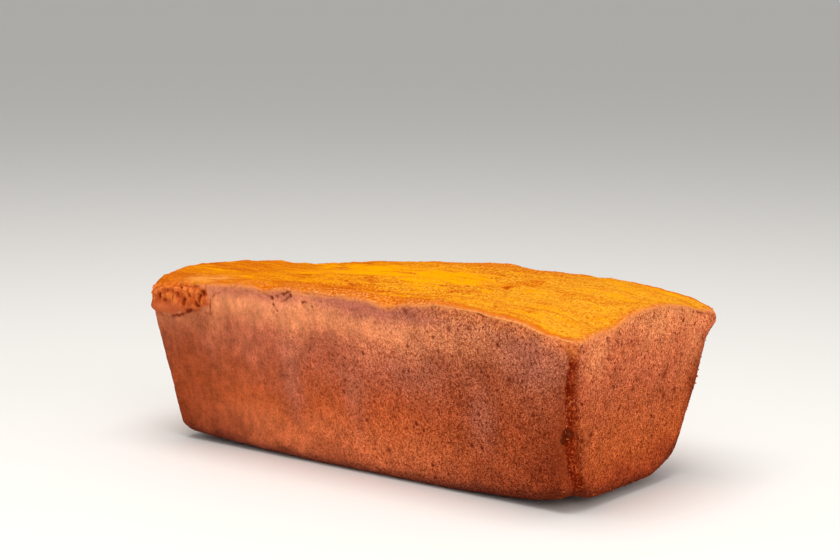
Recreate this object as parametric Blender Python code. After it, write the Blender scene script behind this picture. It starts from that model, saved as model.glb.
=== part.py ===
"""Butter cake: a plain loaf baked in a paper-lined tin, one solid that rests on its flat base.

Metres, +Z up. The origin is on the base, under the middle of the loaf. +X runs along the loaf, and
-Y is the long side whose far corner is torn. The walls lean out as the tin's did, the paper's folds
left a crease down each corner, and the crust bellies up between four low corners.
"""

import math

import bmesh
import bpy
from mathutils import Vector, noise

# The loaf's driving sizes. It fills a tin of 203 x 102 mm.
BASE_LENGTH = 0.1920
BASE_WIDTH = 0.0750
END_LEAN = 0.113
SIDE_LEAN = 0.207
CORNER_HEIGHT = 0.0615
CROWN_HEIGHT = 0.0730
RIM_ROUNDING = 0.0024

# The solid's mesh: cells along, across and up the loaf, and how they crowd towards the edges
CELLS = (60, 28, 14)
CROWDING = 1.25

# The crust: how far it falls towards the ends and the sides, its tilt along +X, and its swells,
# dips and notches as the photograph shows them along the rim
FALL_TO_ENDS = 0.0022
FALL_TO_SIDES = 0.0018
TILT = 0.0014
CROWN_BUMPS = (
    # x, y, width along, width across, height
    (-0.102, -0.049, 0.0144, 0.025, 0.0025),
    (-0.088, 0.002, 0.022, 0.045, 0.0024),
    (-0.070, 0.047, 0.016, 0.012, 0.0012),
    (-0.092, 0.036, 0.048, 0.045, -0.0040),
    (-0.104, -0.047, 0.010, 0.017, 0.0026),
    (-0.038, -0.048, 0.004, 0.005, -0.0018),
    (-0.010, -0.006, 0.030, 0.012, 0.0012),
    (0.003, 0.049, 0.009, 0.005, 0.0012),
    (0.022, -0.049, 0.006, 0.008, -0.0024),
    (0.048, 0.005, 0.007, 0.005, -0.0010),
    (0.048, -0.050, 0.011, 0.012, 0.0016),
    (0.062, -0.050, 0.009, 0.012, 0.0010),
    (0.090, 0.044, 0.020, 0.014, -0.0017),
    (0.101, -0.028, 0.010, 0.0135, -0.0047),
    (0.101, -0.051, 0.010, 0.012, 0.0056),
    (0.102, 0.050, 0.010, 0.011, 0.0024),
    (0.1035, -0.0515, 0.005, 0.005, -0.0010),
)

# Each corner: its signs, how far the crust's dip reaches along X and along Y, how round that dip
# is, the corner's radius at the base and at the rim, how far the base lifts there, and how deep
# the paper's fold bit in
CORNERS = (
    ((1, -1), (0.0143, 0.0125), 2.5, (0.005, 0.004), 0.0034, 0.0036),
    ((1, 1), (0.0080, 0.0180), 1.0, (0.010, 0.004), 0.0112, 0.0008),
    ((-1, 1), (0.0200, 0.0200), 1.0, (0.008, 0.005), 0.0040, 0.0012),
    ((-1, -1), (0.0157, 0.0135), 1.25, (0.005, 0.004), 0.0008, 0.0006),
)
CORNER_DROP = 0.0092

# The underside: its rounded edge, and the last part of each end (at -X, then at +X) and of each
# corner, which curves up
BASE_ROUNDING = 0.0050
ENDS_LIFT = (0.0020, 0.0025)
LIFT_STARTS = (-0.020, 0.032)
LIFT_REACH = 0.0240

# The paper's fold, seen from above, from the long side round to the end: the wall rolls into it,
# drops off a step, and its floor runs out on the end. Near the rim its first edge spreads along the
# long side. Then how far in it reaches, how far it sits from the corner at the base and higher up,
# its nick in the base, and how much it wanders
FOLD_ROLL = (-0.0080, -0.0030)
FOLD_STEP = (-0.0036, -0.0018)
FOLD_FLOOR = (0.0008, 0.0036)
FOLD_SPREAD = 0.0042
FOLD_SPREAD_HEIGHTS = (0.0590, 0.0675)
FOLD_FADE = 0.0080
FOLD_SETBACKS = (-0.0042, -0.0008)
FOLD_NICK = 2.2
FOLD_WANDER = 0.0008

# The torn corner: where the batter ran over the paper and tore, on the long side at -X. Beside it
# the crust rolls softly over the rim
TORN_END = -0.0670
TORN_LOW = 0.0530
TORN_LIP = 0.0013
TORN_SINK = 0.0010
TORN_CRAG = 0.0024
CRUMB_SIZE = 0.0038
SOFT_RIM = 0.0011

# The rim's overhang at the back corner at +X
CORNER_LIP = 0.0026
LIP_REACH = 0.010
LIP_DEPTH = 0.0045

# Relief: the walls' slow waves, the crust's wrinkles that run along the loaf, and the ragged rim
WALL_WAVE = 0.00035
WALL_WAVE_SIZE = 0.034
WRINKLE = 0.0007
WRINKLE_LENGTH = 0.036
WRINKLE_SPACING = 0.0090
RIM_RAG = 0.0006
RIM_RAG_SIZE = 0.007


def clear_scene():
    for old in list(bpy.data.objects):
        bpy.data.objects.remove(old, do_unlink=True)


def blend(low, high, value):
    """0 below low, 1 above high, and smooth between."""
    share = min(1.0, max(0.0, (value - low) / (high - low)))
    return share * share * (3.0 - 2.0 * share)


def bell(distance):
    return math.exp(-distance * distance)


def half_sizes(z):
    """The loaf's half length and half width at a height."""
    return BASE_LENGTH / 2 + END_LEAN * z, BASE_WIDTH / 2 + SIDE_LEAN * z


def corner_of(x, y):
    """The corner whose quarter of the loaf holds a point."""
    for corner in CORNERS:
        if x * corner[0][0] >= 0 and y * corner[0][1] >= 0:
            return corner
    return CORNERS[0]


def rounded_plan(p, q, half_length, half_width, radius):
    """A point of the square from -1 to 1, laid into a rectangle whose corner is rounded."""
    x, y = p * half_length, q * half_width
    core_x = max(-half_length + radius, min(half_length - radius, x))
    core_y = max(-half_width + radius, min(half_width - radius, y))
    out_x, out_y = x - core_x, y - core_y
    if out_x and out_y:
        pull = max(abs(out_x), abs(out_y)) / math.hypot(out_x, out_y)
        out_x, out_y = out_x * pull, out_y * pull
    return core_x + out_x, core_y + out_y


def edge_distance(x, y, half_length, half_width, radius):
    """How far inside the rounded rectangle's outline a point is."""
    out_x, out_y = abs(x) - half_length + radius, abs(y) - half_width + radius
    outside = math.hypot(max(out_x, 0.0), max(out_y, 0.0))
    return radius - outside - min(max(out_x, out_y), 0.0)


def crust_height(x, y):
    """The crust before it rounds over at the rim: a low crown that sinks at each corner."""
    half_length, half_width = half_sizes(CROWN_HEIGHT)
    u, v = x / half_length, y / half_width
    height = CROWN_HEIGHT - FALL_TO_ENDS * u * u - FALL_TO_SIDES * v * v + TILT * u
    rim_length, rim_width = half_sizes(CORNER_HEIGHT)
    for (sign_x, sign_y), (along, across), roundness, _, _, _ in CORNERS:
        away = math.hypot((x - sign_x * rim_length) / along, (y - sign_y * rim_width) / across)
        height -= CORNER_DROP * math.exp(-(away**roundness))
    for bump_x, bump_y, along, across, rise in CROWN_BUMPS:
        height += rise * bell(math.hypot((x - bump_x) / along, (y - bump_y) / across))
    return height


def base_lift(x, y):
    """How far the underside has come up off the table: nothing over the middle of the loaf."""
    half_length, half_width = half_sizes(0.0)
    lift = ENDS_LIFT[0] * (1.0 - blend(-half_length, LIFT_STARTS[0], x))
    lift += ENDS_LIFT[1] * blend(LIFT_STARTS[1], half_length, x)
    for (sign_x, sign_y), _, _, _, corner_lift, _ in CORNERS:
        away = math.hypot(x - sign_x * half_length, y - sign_y * half_width)
        lift += corner_lift * (1.0 - blend(0.0, LIFT_REACH, away))
    return lift


def wall_profile(share, height):
    """(inset, z) up the wall: round the base's edge, up the flat, and half way round the rim."""
    around_base = BASE_ROUNDING * math.pi / 2
    flat = height - RIM_ROUNDING - BASE_ROUNDING
    around_rim = RIM_ROUNDING * math.pi / 4
    run = share * (around_base + flat + around_rim)
    if run < around_base:
        angle = run / BASE_ROUNDING
        return BASE_ROUNDING * (1 - math.sin(angle)), BASE_ROUNDING * (1 - math.cos(angle))
    if run < around_base + flat:
        return 0.0, BASE_ROUNDING + run - around_base
    angle = (run - around_base - flat) / RIM_ROUNDING
    return RIM_ROUNDING * (1 - math.cos(angle)), height - RIM_ROUNDING * (1 - math.sin(angle))


def crowd(value):
    """Moves the grid's lines towards the edges, where the shape turns fastest."""
    return math.copysign(1 - (1 - abs(value)) ** CROWDING, value)


def loaf_point(cube_point):
    """A point of the cube from -1 to 1 on the plain loaf, and how far inside the rim it lies."""
    p, q, share = crowd(cube_point.x), crowd(cube_point.y), (crowd(cube_point.z) + 1) / 2
    base_radius, rim_radius = corner_of(p, q)[3]
    quarter_turn_inset = RIM_ROUNDING * (1 - math.sqrt(0.5))
    rim_length, rim_width = half_sizes(CROWN_HEIGHT)
    flat_x, flat_y = rounded_plan(
        p, q, rim_length - quarter_turn_inset, rim_width - quarter_turn_inset, rim_radius
    )
    height = crust_height(flat_x, flat_y)
    base_length, base_width = half_sizes(0.0)
    lift = base_lift(
        *rounded_plan(p, q, base_length - BASE_ROUNDING, base_width - BASE_ROUNDING, base_radius)
    )
    if cube_point.z > 0.999:
        inset = quarter_turn_inset
        inside = edge_distance(flat_x, flat_y, rim_length, rim_width, rim_radius)
        short = max(0.0, RIM_ROUNDING - inside)
        z = height - RIM_ROUNDING + math.sqrt(RIM_ROUNDING**2 - min(short, RIM_ROUNDING * 0.99) ** 2)
    else:
        inset, z = wall_profile(share, height - lift)
        z += lift
        inside = z - height
    half_length, half_width = half_sizes(z)
    radius = base_radius + (rim_radius - base_radius) * blend(0.0, 0.6, share)
    x, y = rounded_plan(p, q, half_length - inset, half_width - inset, radius)
    return Vector((x, y, z)), inside


def fold_shift(point):
    """How the paper's fold pushed a corner in: a step on the long side, a ramp on the end."""
    (sign_x, sign_y), _, _, _, _, fold = corner_of(point.x, point.y)
    half_length, half_width = half_sizes(point.z)
    away_x = half_length - sign_x * point.x
    away_y = half_width - sign_y * point.y
    inward = (away_x + away_y) / math.sqrt(2)
    up = blend(0.0, 0.5 * CORNER_HEIGHT, point.z)
    setback = FOLD_SETBACKS[0] + (FOLD_SETBACKS[1] - FOLD_SETBACKS[0]) * up
    setback += FOLD_WANDER * noise.noise(Vector((sign_x, sign_y, point.z / 0.011)))
    towards_end = (away_y - away_x) / math.sqrt(2) + setback
    if towards_end < 0:
        towards_end = min(0.0, towards_end + FOLD_SPREAD * blend(*FOLD_SPREAD_HEIGHTS, point.z))
    share = 0.3 * blend(*FOLD_ROLL, towards_end) + 0.7 * blend(*FOLD_STEP, towards_end)
    share *= 1.0 - blend(*FOLD_FLOOR, towards_end)
    depth = fold * share * bell(inward / FOLD_FADE)
    nick = FOLD_NICK * depth * (1.0 - blend(0.0, 0.3 * CORNER_HEIGHT, point.z))
    return Vector((-sign_x * depth / math.sqrt(2), -sign_y * depth / math.sqrt(2), nick))


def torn_share(point, inside):
    """1 in the torn corner, 0 outside it, with a ragged edge."""
    rag = 0.0025 * noise.noise(point / 0.006)
    along = 1.0 - blend(TORN_END - 0.003, TORN_END + 0.0015, point.x + 1.5 * rag)
    low = TORN_LOW + 0.25 * max(0.0, point.x + 0.092)
    up = blend(low - 0.001, low + 0.001, point.z + rag)
    top = 1.0 - blend(-0.0032, -0.0002, inside + rag)
    front = 1.0 - blend(-0.036, -0.030, point.y + rag)
    return along * up * top * front


def torn_relief(point, inside):
    """Lumps of crumb and pits between them, over a lip that hangs above the smooth wall."""
    share = torn_share(point, inside)
    if share <= 0.0:
        return 0.0
    distances, _ = noise.voronoi(point / CRUMB_SIZE)
    lumps = 0.55 - distances[0] + 0.25 * noise.noise(point / (CRUMB_SIZE * 0.6))
    low = TORN_LOW + 0.25 * max(0.0, point.x + 0.092)
    lip = bell((point.z - low - 0.0028) / 0.0024)
    rough = (1.0 - 0.75 * lip) * (0.4 + 0.6 * blend(-0.1035, -0.0985, point.x))
    return share * (TORN_LIP * lip + rough * (TORN_CRAG * lumps - TORN_SINK))


def soft_rim_relief(point, inside):
    """By the torn corner the crust rolls over the rim instead of breaking at it."""
    near = (1.0 - blend(-0.072, -0.060, point.x)) * (1.0 - blend(-0.030, 0.010, point.y))
    return -SOFT_RIM * near * bell((inside - 0.0006) / 0.0026)


def lip_relief(point):
    """The rim hangs out a little over the back corner at +X."""
    rim_length, rim_width = half_sizes(CORNER_HEIGHT)
    away = math.hypot(point.x - rim_length, point.y - rim_width)
    return CORNER_LIP * bell(away / LIP_REACH) * bell((point.z - CORNER_HEIGHT + 0.001) / LIP_DEPTH)


def crust_relief(point):
    """Long thin wrinkles, deepest in the middle of the crust."""
    half_length, half_width = half_sizes(point.z)
    inside = min(half_length - abs(point.x), half_width - abs(point.y))
    cell = Vector((point.x / WRINKLE_LENGTH, point.y / WRINKLE_SPACING, 3.7))
    bend = 0.6 * noise.noise(Vector((point.x / 0.05, point.y / 0.03, 9.1)))
    line = noise.noise(cell + Vector((0.0, bend, 0.0)))
    wrinkle = 0.5 - min(1.0, abs(line) * 3.2)
    return WRINKLE * -wrinkle * blend(0.004, 0.014, inside)


def rim_relief(point, height):
    """Small rags along the rim, where the crust tore off the paper."""
    near = bell((point.z - height) / 0.003)
    return RIM_RAG * near * noise.noise(point / RIM_RAG_SIZE + Vector((5.0, 1.0, 2.0)))


def wall_relief(point):
    fade = blend(0.0, 0.010, point.z)
    return WALL_WAVE * fade * noise.noise(point / WALL_WAVE_SIZE)


def cube_grid(cells):
    """A cube from -1 to 1, each face a grid with that many cells along each axis."""
    grid = bmesh.new()
    bmesh.ops.create_cube(grid, size=2.0)
    for axis, count in enumerate(cells):
        others = [n for n in range(3) if n != axis]
        along_axis = [
            edge
            for edge in grid.edges
            if all(abs(edge.verts[0].co[n] - edge.verts[1].co[n]) < 1e-6 for n in others)
        ]
        bmesh.ops.subdivide_edges(grid, edges=along_axis, cuts=count - 1, use_grid_fill=True)
    return grid


def refine_torn_corner(grid):
    """Halves the cells where the crags are."""
    torn = [
        face
        for face in grid.faces
        if face.calc_center_median().x < -0.58
        and face.calc_center_median().y < -0.62
        and face.calc_center_median().z > 0.40
    ]
    edges = list({edge for face in torn for edge in face.edges})
    bmesh.ops.subdivide_edges(grid, edges=edges, cuts=1, use_grid_fill=True)


def flatten_base(grid):
    """Makes the part of the base that rests on the table one flat fan about its middle."""
    resting = [
        face
        for face in grid.faces
        if face.calc_center_median().z < -0.999
        and all(loaf_point(vertex.co)[0].z < 1e-7 for vertex in face.verts)
    ]
    outline = bmesh.ops.dissolve_faces(grid, faces=resting)["region"]
    bmesh.ops.poke(grid, faces=outline)


def shape_loaf(grid):
    """Lays the cube on the loaf, and keeps how far inside the rim each point lies."""
    rim_mark = grid.verts.layers.float.new("inside_rim")
    for vertex in grid.verts:
        plain, inside = loaf_point(vertex.co)
        vertex.co = plain + fold_shift(plain)
        vertex[rim_mark] = inside
    grid.normal_update()
    return rim_mark


def add_relief(grid, rim_mark):
    """Pushes each point along its own normal, except on the flat base."""
    moved = []
    for vertex in grid.verts:
        point, inside = vertex.co.copy(), vertex[rim_mark]
        if point.z < 1e-6:
            continue
        depth = rim_relief(point, crust_height(point.x, point.y)) + lip_relief(point)
        depth += torn_relief(point, inside) + soft_rim_relief(point, inside)
        if inside > 0.0:
            depth += 0.4 * wall_relief(point) + crust_relief(point)
        else:
            depth += wall_relief(point)
        moved.append((vertex, point + vertex.normal * depth))
    for vertex, place in moved:
        vertex.co = place
    grid.verts.layers.float.remove(rim_mark)


def centre_over_base(grid):
    """Puts the middle of the loaf's outline over the origin."""
    for axis in (0, 1):
        ends = [vertex.co[axis] for vertex in grid.verts]
        middle = (min(ends) + max(ends)) / 2
        for vertex in grid.verts:
            vertex.co[axis] -= middle


def crust_material():
    material = bpy.data.materials.new("baked_crust")
    material.use_nodes = True
    surface = material.node_tree.nodes["Principled BSDF"]
    surface.inputs["Base Color"].default_value = (0.52, 0.17, 0.055, 1.0)
    surface.inputs["Roughness"].default_value = 0.85
    surface.inputs["Metallic"].default_value = 0.0
    return material


def make_cake():
    grid = cube_grid(CELLS)
    refine_torn_corner(grid)
    flatten_base(grid)
    rim_mark = shape_loaf(grid)
    add_relief(grid, rim_mark)
    centre_over_base(grid)
    grid.normal_update()
    mesh = bpy.data.meshes.new("butter_cake")
    grid.to_mesh(mesh)
    grid.free()
    mesh.shade_smooth()
    mesh.materials.append(crust_material())
    cake = bpy.data.objects.new("butter_cake", mesh)
    bpy.context.scene.collection.objects.link(cake)
    return cake


clear_scene()
make_cake()
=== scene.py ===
import math
import random

import bmesh
import bpy
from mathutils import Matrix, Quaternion, Vector, noise


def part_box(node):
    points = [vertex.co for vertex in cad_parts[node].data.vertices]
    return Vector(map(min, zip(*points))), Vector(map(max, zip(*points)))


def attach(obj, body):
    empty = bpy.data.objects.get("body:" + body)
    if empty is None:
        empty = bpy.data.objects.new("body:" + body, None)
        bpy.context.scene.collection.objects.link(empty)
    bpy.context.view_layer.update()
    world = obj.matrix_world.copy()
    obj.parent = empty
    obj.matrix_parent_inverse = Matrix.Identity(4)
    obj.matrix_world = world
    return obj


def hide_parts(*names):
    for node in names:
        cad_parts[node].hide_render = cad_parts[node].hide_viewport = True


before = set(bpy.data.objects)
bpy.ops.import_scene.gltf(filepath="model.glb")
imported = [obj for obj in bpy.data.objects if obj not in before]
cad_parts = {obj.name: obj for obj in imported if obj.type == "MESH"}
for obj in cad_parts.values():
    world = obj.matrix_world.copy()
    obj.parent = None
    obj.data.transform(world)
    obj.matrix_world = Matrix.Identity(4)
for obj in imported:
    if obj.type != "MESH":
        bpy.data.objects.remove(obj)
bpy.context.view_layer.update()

loaf_low, loaf_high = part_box("butter_cake")


# The loaf's plain form: butter batter baked in a paper-lined 8 x 4 inch tin, so its walls lean out
# as the tin's did. The base came off the flat of the tin, the crust bellied up between four low
# corners, and the ends of the base curve up a little.
BASE_LENGTH = 0.1920
BASE_WIDTH = 0.0750
END_LEAN = 0.113
SIDE_LEAN = 0.207
CORNER_HEIGHT = 0.0615
CROWN_HEIGHT = 0.0730
RIM_ROUNDING = 0.0024
BASE_ROUNDING = 0.0050
FALL_TO_ENDS = 0.0022
FALL_TO_SIDES = 0.0018
TILT = 0.0014
CORNER_DROP = 0.0092
ENDS_LIFT = (0.0020, 0.0025)
LIFT_STARTS = (-0.020, 0.032)
LIFT_REACH = 0.0240
RADIUS_CHANGES_OVER = 0.6
CELLS = (188, 88, 55)
CROWDING = 1.25
ON_FACE = 0.999
TINY = 1e-6
CROWN_BUMPS = (
    # x, y, width along, width across, height
    (-0.102, -0.049, 0.0144, 0.025, 0.0025),
    (-0.088, 0.002, 0.022, 0.045, 0.0024),
    (-0.070, 0.047, 0.016, 0.012, 0.0012),
    (-0.092, 0.036, 0.048, 0.045, -0.0040),
    (-0.104, -0.047, 0.010, 0.017, 0.0026),
    (-0.038, -0.048, 0.004, 0.005, -0.0018),
    (-0.010, -0.006, 0.030, 0.012, 0.0012),
    (0.003, 0.049, 0.009, 0.005, 0.0012),
    (0.022, -0.049, 0.006, 0.008, -0.0024),
    (0.048, 0.005, 0.007, 0.005, -0.0010),
    (0.048, -0.050, 0.011, 0.012, 0.0016),
    (0.062, -0.050, 0.009, 0.012, 0.0010),
    (0.090, 0.044, 0.020, 0.014, -0.0017),
    (0.101, -0.028, 0.010, 0.0135, -0.0047),
    (0.101, -0.051, 0.010, 0.012, 0.0056),
    (0.102, 0.050, 0.010, 0.011, 0.0024),
    (0.1035, -0.0515, 0.005, 0.005, -0.0010),
)
CORNERS = (
    # signs, dip along and across, its roundness, radius at the base and the rim, lift, fold
    ((1, -1), (0.0143, 0.0125), 2.5, (0.005, 0.004), 0.0034, 0.0036),
    ((1, 1), (0.0080, 0.0180), 1.0, (0.010, 0.004), 0.0112, 0.0008),
    ((-1, 1), (0.0200, 0.0200), 1.0, (0.008, 0.005), 0.0040, 0.0012),
    ((-1, -1), (0.0157, 0.0135), 1.25, (0.005, 0.004), 0.0008, 0.0006),
)


def blend(low, high, value):
    """0 below low, 1 above high, and smooth between."""
    share = min(1.0, max(0.0, (value - low) / (high - low)))
    return share * share * (3.0 - 2.0 * share)


def bell(distance):
    return math.exp(-distance * distance)


def half_sizes(z):
    """The loaf's half length and half width at a height."""
    return BASE_LENGTH / 2 + END_LEAN * z, BASE_WIDTH / 2 + SIDE_LEAN * z


def corner_of(x, y):
    for corner in CORNERS:
        if x * corner[0][0] >= 0 and y * corner[0][1] >= 0:
            return corner
    return CORNERS[0]


def rounded_plan(p, q, half_length, half_width, radius):
    """A point of the square from -1 to 1, laid into a rectangle whose corner is rounded."""
    x, y = p * half_length, q * half_width
    core_x = max(-half_length + radius, min(half_length - radius, x))
    core_y = max(-half_width + radius, min(half_width - radius, y))
    out_x, out_y = x - core_x, y - core_y
    if out_x and out_y:
        pull = max(abs(out_x), abs(out_y)) / math.hypot(out_x, out_y)
        out_x, out_y = out_x * pull, out_y * pull
    return core_x + out_x, core_y + out_y


def edge_distance(x, y, half_length, half_width, radius):
    """How far inside the rounded rectangle's outline a point is."""
    out_x, out_y = abs(x) - half_length + radius, abs(y) - half_width + radius
    outside = math.hypot(max(out_x, 0.0), max(out_y, 0.0))
    return radius - outside - min(max(out_x, out_y), 0.0)


def crust_height(x, y):
    """The crust before it rounds over at the rim: a low crown that sinks at each corner."""
    half_length, half_width = half_sizes(CROWN_HEIGHT)
    u, v = x / half_length, y / half_width
    height = CROWN_HEIGHT - FALL_TO_ENDS * u * u - FALL_TO_SIDES * v * v + TILT * u
    rim_length, rim_width = half_sizes(CORNER_HEIGHT)
    for (sign_x, sign_y), (along, across), roundness, _, _, _ in CORNERS:
        away = math.hypot((x - sign_x * rim_length) / along, (y - sign_y * rim_width) / across)
        height -= CORNER_DROP * math.exp(-(away**roundness))
    for bump_x, bump_y, along, across, rise in CROWN_BUMPS:
        height += rise * bell(math.hypot((x - bump_x) / along, (y - bump_y) / across))
    return height


def base_lift(x, y):
    """How far the underside has come up off the table: nothing over the middle of the loaf."""
    half_length, half_width = half_sizes(0.0)
    lift = ENDS_LIFT[0] * (1.0 - blend(-half_length, LIFT_STARTS[0], x))
    lift += ENDS_LIFT[1] * blend(LIFT_STARTS[1], half_length, x)
    for (sign_x, sign_y), _, _, _, corner_lift, _ in CORNERS:
        away = math.hypot(x - sign_x * half_length, y - sign_y * half_width)
        lift += corner_lift * (1.0 - blend(0.0, LIFT_REACH, away))
    return lift


def wall_profile(share, height):
    """(inset, z) up the wall: round the base's edge, up the flat, and half way round the rim."""
    around_base = BASE_ROUNDING * math.pi / 2
    flat = height - RIM_ROUNDING - BASE_ROUNDING
    around_rim = RIM_ROUNDING * math.pi / 4
    run = share * (around_base + flat + around_rim)
    if run < around_base:
        angle = run / BASE_ROUNDING
        return BASE_ROUNDING * (1 - math.sin(angle)), BASE_ROUNDING * (1 - math.cos(angle))
    if run < around_base + flat:
        return 0.0, BASE_ROUNDING + run - around_base
    angle = (run - around_base - flat) / RIM_ROUNDING
    return RIM_ROUNDING * (1 - math.cos(angle)), height - RIM_ROUNDING * (1 - math.sin(angle))


def crowd(value):
    """Moves the grid's lines towards the edges, where the shape turns fastest."""
    return math.copysign(1 - (1 - abs(value)) ** CROWDING, value)


def loaf_point(cube_point):
    """A point of the cube from -1 to 1 on the plain loaf, and how far inside the rim it lies."""
    p, q, share = crowd(cube_point.x), crowd(cube_point.y), (crowd(cube_point.z) + 1) / 2
    base_radius, rim_radius = corner_of(p, q)[3]
    quarter_turn_inset = RIM_ROUNDING * (1 - math.sqrt(0.5))
    rim_length, rim_width = half_sizes(CROWN_HEIGHT)
    flat_x, flat_y = rounded_plan(
        p, q, rim_length - quarter_turn_inset, rim_width - quarter_turn_inset, rim_radius
    )
    height = crust_height(flat_x, flat_y)
    base_length, base_width = half_sizes(0.0)
    lift = base_lift(
        *rounded_plan(p, q, base_length - BASE_ROUNDING, base_width - BASE_ROUNDING, base_radius)
    )
    if cube_point.z > ON_FACE:
        inset = quarter_turn_inset
        inside = edge_distance(flat_x, flat_y, rim_length, rim_width, rim_radius)
        short = min(max(0.0, RIM_ROUNDING - inside), RIM_ROUNDING * 0.99)
        z = height - RIM_ROUNDING + math.sqrt(RIM_ROUNDING**2 - short**2)
    else:
        inset, z = wall_profile(share, height - lift)
        z += lift
        inside = z - height
    half_length, half_width = half_sizes(z)
    radius = base_radius + (rim_radius - base_radius) * blend(0.0, RADIUS_CHANGES_OVER, share)
    x, y = rounded_plan(p, q, half_length - inset, half_width - inset, radius)
    return Vector((x, y, z)), inside


loaf = bmesh.new()
bmesh.ops.create_cube(loaf, size=2.0)
for axis, count in enumerate(CELLS):
    others = [n for n in range(3) if n != axis]
    along_axis = [
        edge
        for edge in loaf.edges
        if all(abs(edge.verts[0].co[n] - edge.verts[1].co[n]) < TINY for n in others)
    ]
    bmesh.ops.subdivide_edges(loaf, edges=along_axis, cuts=count - 1, use_grid_fill=True)


# The cells are halved where the skin has fine marks: along the front rim, down the deep crease, over
# the granular half of the crust and, twice, where the batter ran over the paper at one corner and
# tore. The part of the base that rests on the table is one flat fan.
TORN_BOX = ((-0.110, -0.060, 0.050), (-0.064, -0.038, 0.074))
CRAG_BOX = ((-0.110, -0.060, 0.0515), (-0.0665, -0.040, 0.0700))
CREASE_BOX = ((0.091, -0.060, 0.000), (0.112, -0.033, 0.070))
GRANULAR_BOX = ((0.030, -0.060, 0.055), (0.112, 0.026, 0.078))
# how far inside the rim the finer cells begin and end
FRONT_RIM = (-0.012, 0.006)
FRONT_SIDE = -0.038
GRANULES_BEGIN = -0.001
CRAGS_END = 0.0015
FLAT = 1e-7


def within(point, box):
    return all(box[0][n] <= point[n] <= box[1][n] for n in range(3))


def halve_cells(grid, wanted):
    """Halves each cell whose middle, on the loaf, is wanted."""
    chosen = [face for face in grid.faces if wanted(*loaf_point(face.calc_center_median()))]
    edges = list({edge for face in chosen for edge in face.edges})
    bmesh.ops.subdivide_edges(grid, edges=edges, cuts=1, use_grid_fill=True)


halve_cells(
    loaf,
    lambda point, inside: (point.y < FRONT_SIDE and FRONT_RIM[0] < inside < FRONT_RIM[1])
    or (inside > GRANULES_BEGIN and within(point, GRANULAR_BOX))
    or within(point, CREASE_BOX)
    or within(point, TORN_BOX),
)
halve_cells(loaf, lambda point, inside: inside < CRAGS_END and within(point, CRAG_BOX))
resting = [
    face
    for face in loaf.faces
    if face.calc_center_median().z < -ON_FACE
    and all(loaf_point(vertex.co)[0].z < FLAT for vertex in face.verts)
]
resting_outline = bmesh.ops.dissolve_faces(loaf, faces=resting)["region"]
bmesh.ops.poke(loaf, faces=resting_outline)


# The creases: each fold of the paper pressed a groove down a corner. The one at the near corner is
# deep. The long wall rolls into it and drops off a sharp step, its floor is a strip of rough
# red-brown crumb where the paper stuck, and it opens into a nick at the base.
MM = 0.001
FOLD_ROLL = (-0.0080, -0.0030)
FOLD_STEP = (-0.0036, -0.0018)
FOLD_FLOOR = (0.0008, 0.0036)
FOLD_SPREAD = 0.0042
FOLD_SPREAD_HEIGHTS = (0.0590, 0.0675)
FOLD_FADE = 0.0080
FOLD_SETBACKS = (-0.0042, -0.0008)
FOLD_SETBACK_TOP = 0.5 * CORNER_HEIGHT
FOLD_NICK = 2.2
FOLD_NICK_TOP = 0.3 * CORNER_HEIGHT
FOLD_FULL_DEPTH = 0.0030
FOLD_WANDER = 0.0008
FOLD_WANDER_SIZE = 0.011
FOLD_CRUMB = 0.0008
FOLD_CRUMB_SIZE = 0.0016
FOLD_CRUMB_FROM = (0.3, 0.8)


def fold_depth(point):
    """How deep the paper's fold bit in, its share of the full depth, and how far round it lies."""
    (sign_x, sign_y), _, _, _, _, depth = corner_of(point.x, point.y)
    half_length, half_width = half_sizes(point.z)
    away_x = half_length - sign_x * point.x
    away_y = half_width - sign_y * point.y
    inward = (away_x + away_y) / math.sqrt(2)
    up = blend(0.0, FOLD_SETBACK_TOP, point.z)
    setback = FOLD_SETBACKS[0] + (FOLD_SETBACKS[1] - FOLD_SETBACKS[0]) * up
    setback += FOLD_WANDER * noise.noise(Vector((sign_x, sign_y, point.z / FOLD_WANDER_SIZE)))
    towards_end = (away_y - away_x) / math.sqrt(2) + setback
    if towards_end < 0:
        towards_end = min(0.0, towards_end + FOLD_SPREAD * blend(*FOLD_SPREAD_HEIGHTS, point.z))
    share = 0.3 * blend(*FOLD_ROLL, towards_end) + 0.7 * blend(*FOLD_STEP, towards_end)
    share *= 1.0 - blend(*FOLD_FLOOR, towards_end)
    share *= bell(inward / FOLD_FADE)
    return depth * share, share * min(1.0, depth / FOLD_FULL_DEPTH), towards_end


def fold_shift(point, depth):
    sign_x, sign_y = corner_of(point.x, point.y)[0]
    nick = FOLD_NICK * depth * (1.0 - blend(0.0, FOLD_NICK_TOP, point.z))
    return Vector((-sign_x * depth / math.sqrt(2), -sign_y * depth / math.sqrt(2), nick))


crease_mark = loaf.verts.layers.float.new("crease")
round_mark = loaf.verts.layers.float.new("round_crease")
rim_mark = loaf.verts.layers.float.new("inside_rim")
for vertex in loaf.verts:
    plain, inside = loaf_point(vertex.co)
    depth, share, round_it = fold_depth(plain)
    vertex.co = plain + fold_shift(plain, depth)
    vertex[crease_mark] = share
    vertex[round_mark] = round_it / MM
    vertex[rim_mark] = inside
loaf.normal_update()


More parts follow.
